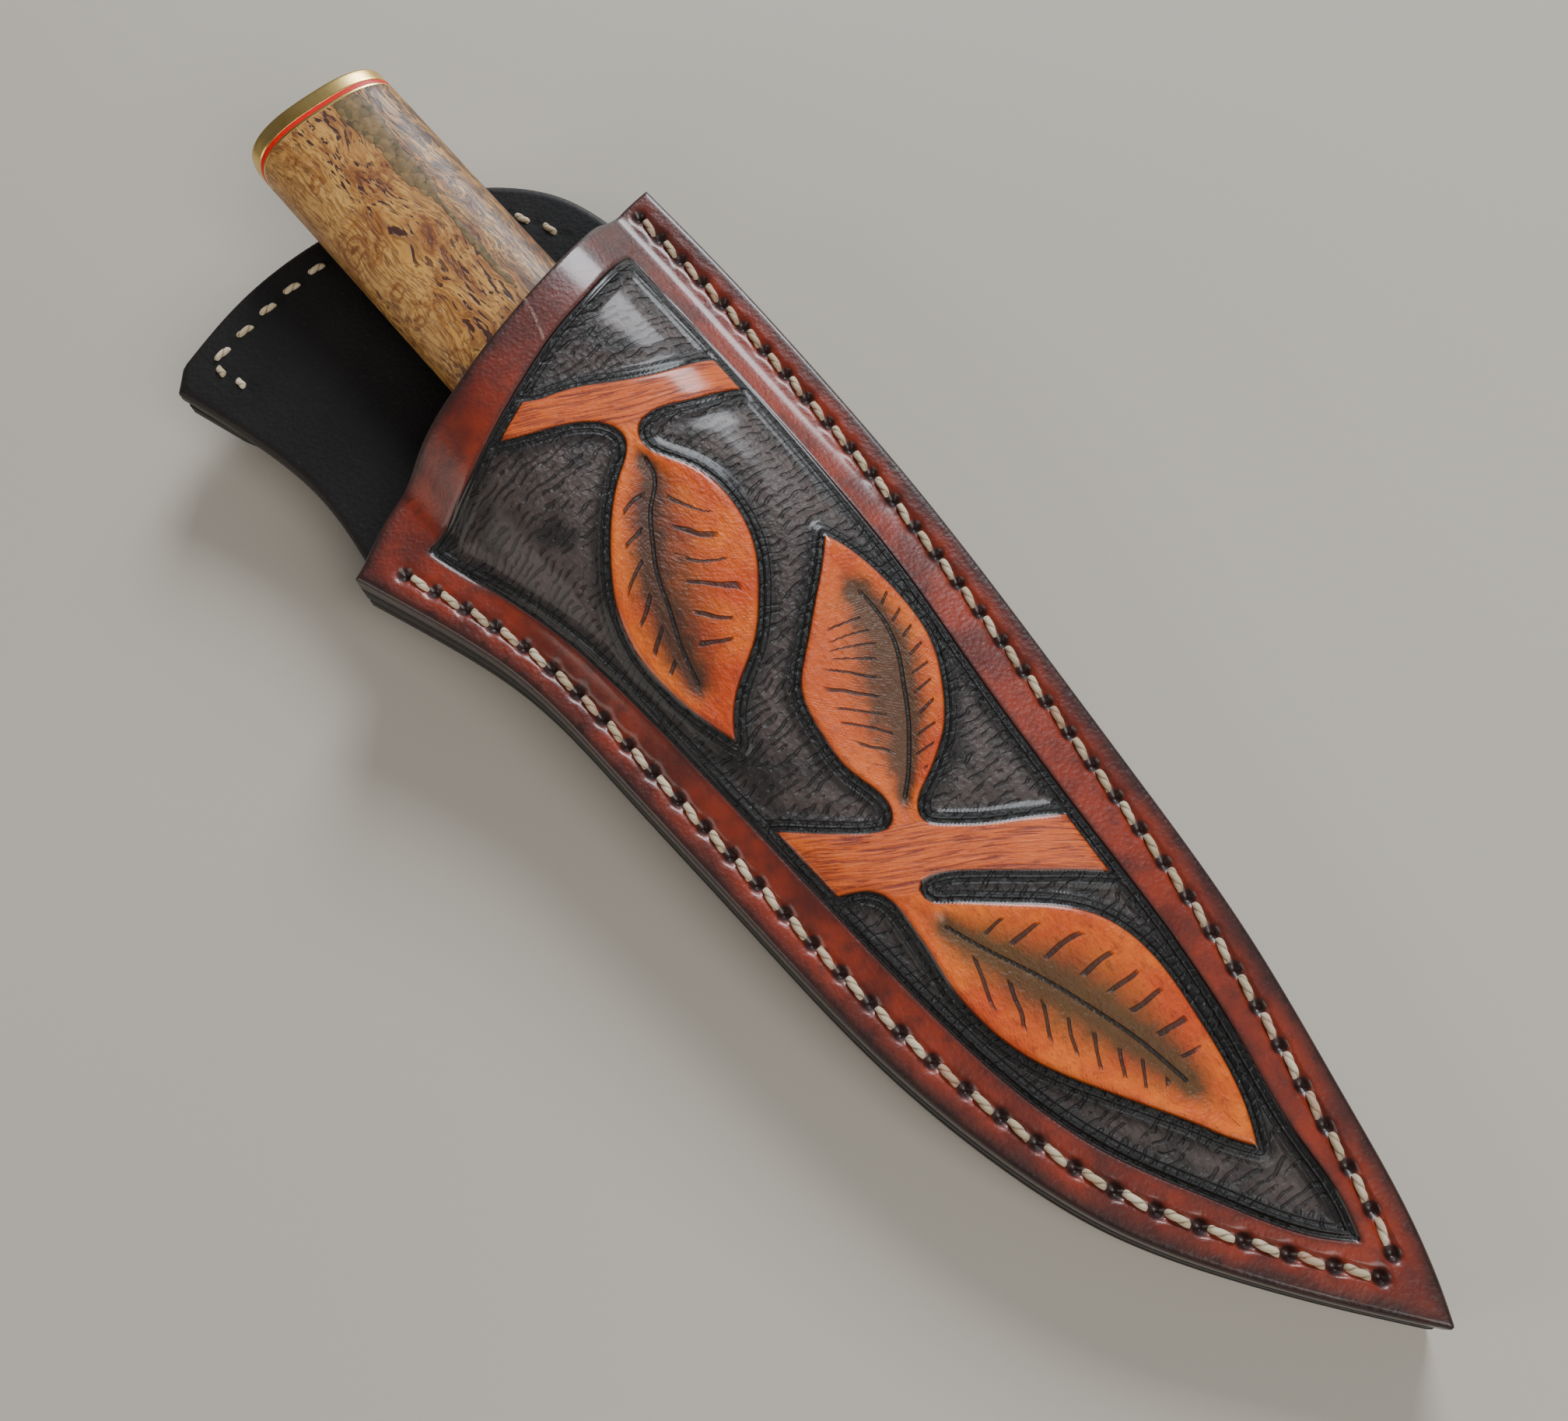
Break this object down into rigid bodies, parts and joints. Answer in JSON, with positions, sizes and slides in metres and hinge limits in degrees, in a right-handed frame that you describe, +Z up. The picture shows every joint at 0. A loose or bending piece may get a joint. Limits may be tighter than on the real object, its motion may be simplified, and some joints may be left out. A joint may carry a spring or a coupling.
{
  "type": "sheathed hunting knife",
  "caption": "Fixed-blade hunting knife with a burl handle and brass butt cap, held in a carved leather pouch sheath with a belt loop; the knife draws out.",
  "frame": {"origin": "on the table, under the middle of the overall box, with the assembly lying on its tip and belt loop, carved side up", "axes": "+Y along the sheath from its tip to the knife's butt, +X towards the sheath's spine side, +Z up, out of the carved face"},
  "size_m": [0.081, 0.251, 0.0336],
  "materials": {
    "carved_leather": "hand-tooled, dyed and glossy",
    "dyed_leather": "matte black",
    "edge_leather": "burnished edge",
    "thread": "waxed twisted thread",
    "blade_steel": "satin",
    "brass": "polished",
    "red_fibre": "vulcanised fibre sheet",
    "burl_wood": "oiled curly burl",
    "stone_fill": "crushed stone in clear epoxy",
    "epoxy": "cured epoxy"
  },
  "bodies": {
    "sheath": {"front_panel": "carved_leather", "back_panel": "dyed_leather", "belly_welt": "edge_leather", "spine_welt": "edge_leather", "belt_loop": "dyed_leather", "belly_seam_thread": "thread", "spine_seam_thread": "thread", "loop_top_thread": "thread", "loop_low_thread": "thread"},
    "knife": {"blade": "blade_steel", "guard": "brass", "guard_spacer": "red_fibre", "guard_shim": "brass", "handle_block": "burl_wood", "crack_fill": "stone_fill", "tang_bedding": "epoxy", "butt_shim": "brass", "butt_spacer": "red_fibre", "butt_cap": "brass"}
  },
  "joints": [
    {"name": "knife_draw", "type": "slide", "parent": "sheath", "child": "knife", "axis": [0, 0.9961, 0.0878], "range_m": [0, 0.19]}
  ]
}
